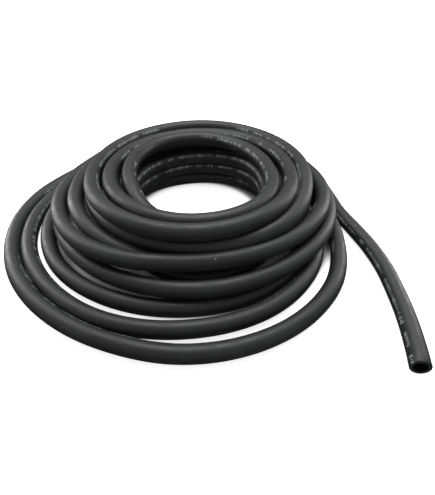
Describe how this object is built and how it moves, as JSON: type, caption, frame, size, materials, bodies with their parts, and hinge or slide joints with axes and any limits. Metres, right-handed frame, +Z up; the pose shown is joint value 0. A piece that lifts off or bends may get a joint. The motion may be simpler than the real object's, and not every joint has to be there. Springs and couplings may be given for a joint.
{
  "type": "heater hose",
  "caption": "Coil of black rubber heater hose with an open centre, stacked upper turns, loose turns on the floor and one cut end led out in front.",
  "frame": {"origin": "middle of the whole coil and its free end, on the floor that it lies on", "axes": "+Z up along the coil's axis, -Y towards the cut end, +X to the side on which the free end leaves the coil"},
  "size_m": [0.5818, 0.5824, 0.1008],
  "materials": {
    "hose_rubber": "matt black extruded rubber with a soft grey sheen"
  },
  "bodies": {
    "root": {"stacked_turns": "hose_rubber", "outer_loose_turn_and_end": "hose_rubber", "inner_loose_turn": "hose_rubber"}
  },
  "joints": []
}
